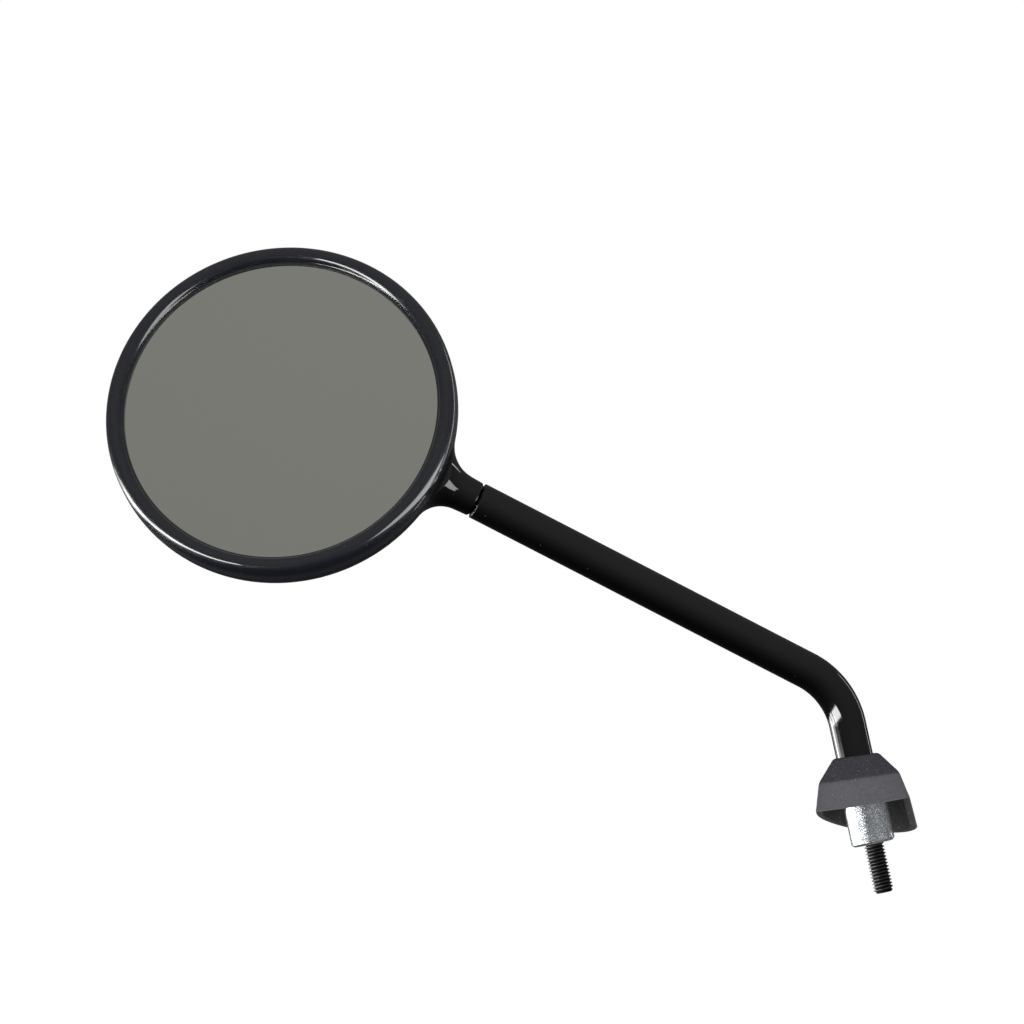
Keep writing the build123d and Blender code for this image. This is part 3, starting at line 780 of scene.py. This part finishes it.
def makeCamera():
    right, up, back = viewAxes()
    focal = cameraSet["pixels"] * cameraSet["lens"] / cameraSet["sensor"]
    middle = cameraSet["pixels"] / 2
    across = (cameraSet["originPixel"][0] - middle) * cameraSet["metresPerPixel"]
    above = (middle - cameraSet["originPixel"][1]) * cameraSet["metresPerPixel"]
    place = back * focal * cameraSet["metresPerPixel"] - right * across - up * above
    data = bpy.data.cameras.new("camera")
    data.lens, data.sensor_width = cameraSet["lens"], cameraSet["sensor"]
    camera = bpy.data.objects.new("camera", data)
    scene.collection.objects.link(camera)
    camera.matrix_world = Matrix.Translation(place) @ Matrix((right, up, back)).transposed().to_4x4()
    scene.camera = camera


makeCamera()

# studio: a white surround for the camera, a grey room with bright panels for the gloss, and a soft fill;
# the room and the fill change with the height and the nearness of a direction
studioSet = {"floorDrop": 0.4, "floorSize": 30.0, "floorPale": 0.9, "floorGlow": 0.55, "room": 0.175,
             "roomRise": 0.17, "roomNear": 0.3, "fill": 0.70, "fillRise": -0.25, "fillNear": 0.45,
             "panelEdge": 1.0}

# flat panels that the gloss mirrors: azimuth from and to (left of the camera is negative), azimuth that the
# panel faces, its height from and to there, level
panelSet = {"leftEdge": (-125.0, -108.0, -75.0, -31.0, -16.5, 10.0),
            "leftBar": (-104.0, -83.5, -75.0, -31.0, -16.5, 11.0),
            "leftPanel": (-78.5, -25.0, -75.0, -30.0, -16.0, 13.0),
            "leftWall": (-128.0, -92.0, -110.0, -20.0, -8.0, 4.5),
            "leftFar": (-146.0, -128.0, -110.0, -20.0, -6.0, 1.8),
            "rightPanel": (30.0, 105.0, 60.0, -29.0, -5.0, 4.2),
            "rightStrip": (120.5, 124.5, 122.0, -30.0, 33.0, 5.0)}


def between(room, value, low, high):
    # 1 between two angles, with a soft edge inside each
    edge = studioSet["panelEdge"]
    return room.band(value, low, low + edge) * (1 - room.band(value, high - edge, high))


def makeWorld():
    world = bpy.data.worlds.new("studio")
    scene.world = world
    room = Recipe(world)
    rays = room.node("ShaderNodeLightPath")
    camera = room.out(rays, "Is Camera Ray")
    mirrored = room.out(rays, "Is Glossy Ray").atLeast(room.out(rays, "Is Transmission Ray"))
    way = room.node("ShaderNodeTexCoord").outputs["Generated"]
    parts = []
    for axis in viewAxes():
        made = room.node("ShaderNodeVectorMath", {"operation": "DOT_PRODUCT"}, {0: way, 1: axis})
        parts.append(room.out(made, "Value"))
    right, up, near = parts
    azimuth = right.angleFrom(near)
    nearness = 1 - studioSet["roomNear"] + near * studioSet["roomNear"]
    seen = (studioSet["room"] + up * studioSet["roomRise"]) * nearness
    for start, end, facing, low, high, level in panelSet.values():
        ahead = right * sin(radians(facing)) + near * cos(radians(facing))
        height = up.angleFrom(ahead)
        seen = seen + between(room, azimuth, start, end) * between(room, height, low, high) * level
    fill = up * studioSet["fillRise"] + near * studioSet["fillNear"] + studioSet["fill"]
    level = camera.atLeast(mirrored * seen) + (1 - camera.atLeast(mirrored)) * fill.atLeast(0.0)
    light = room.node("ShaderNodeBackground", sockets={"Color": grey(1.0), "Strength": level})
    room.node("ShaderNodeOutputWorld", sockets={"Surface": light.outputs[0]})


def makeFloor():
    # a pale floor that only the camera sees, and only from above
    bm = bmesh.new()
    place = Matrix.Translation((0, 0, cadBox[0][2] - studioSet["floorDrop"]))
    bmesh.ops.create_grid(bm, x_segments=1, y_segments=1, size=studioSet["floorSize"], matrix=place)
    mesh = bpy.data.meshes.new("floor")
    bm.to_mesh(mesh)
    bm.free()
    mat = newRecipe("paleFloor")
    seen = mat.out(mat.node("ShaderNodeLightPath"), "Is Camera Ray")
    above = 1 - mat.out(mat.node("ShaderNodeNewGeometry"), "Backfacing")
    lit = mat.shader({
        "Base Color": grey(studioSet["floorPale"]),
        "Roughness": 1.0,
        "Specular IOR Level": 0.0,
        "Emission Color": grey(1.0),
        "Emission Strength": studioSet["floorGlow"]})
    clear = mat.node("ShaderNodeBsdfTransparent").outputs[0]
    mesh.materials.append(mat.finish(mat.blend(seen * above, clear, lit)))
    floor = bpy.data.objects.new("floor", mesh)
    scene.collection.objects.link(floor)


# soft box: its direction from the object is in the picture's terms (right, up, back to the camera)
boxSet = {"way": (-0.9, -0.4, 0.2), "distance": 0.9, "size": (0.4, 0.2), "power": 0.8}


def makeBox():
    low, high = (Vector(corner) for corner in cadBox)
    middle = (low + high) / 2
    direction = sum((axis * part for axis, part in zip(viewAxes(), boxSet["way"])), Vector()).normalized()
    lamp = bpy.data.lights.new("keyBox", "AREA")
    lamp.shape = "RECTANGLE"
    lamp.size, lamp.size_y = boxSet["size"]
    lamp.energy = boxSet["power"]
    box = bpy.data.objects.new("keyBox", lamp)
    scene.collection.objects.link(box)
    turned = direction.to_track_quat("Z", "Y").to_matrix().to_4x4()
    box.matrix_world = Matrix.Translation(middle + direction * boxSet["distance"]) @ turned


makeWorld()
makeFloor()
makeBox()
scene.view_settings.view_transform = "Standard"
print("studio ready")
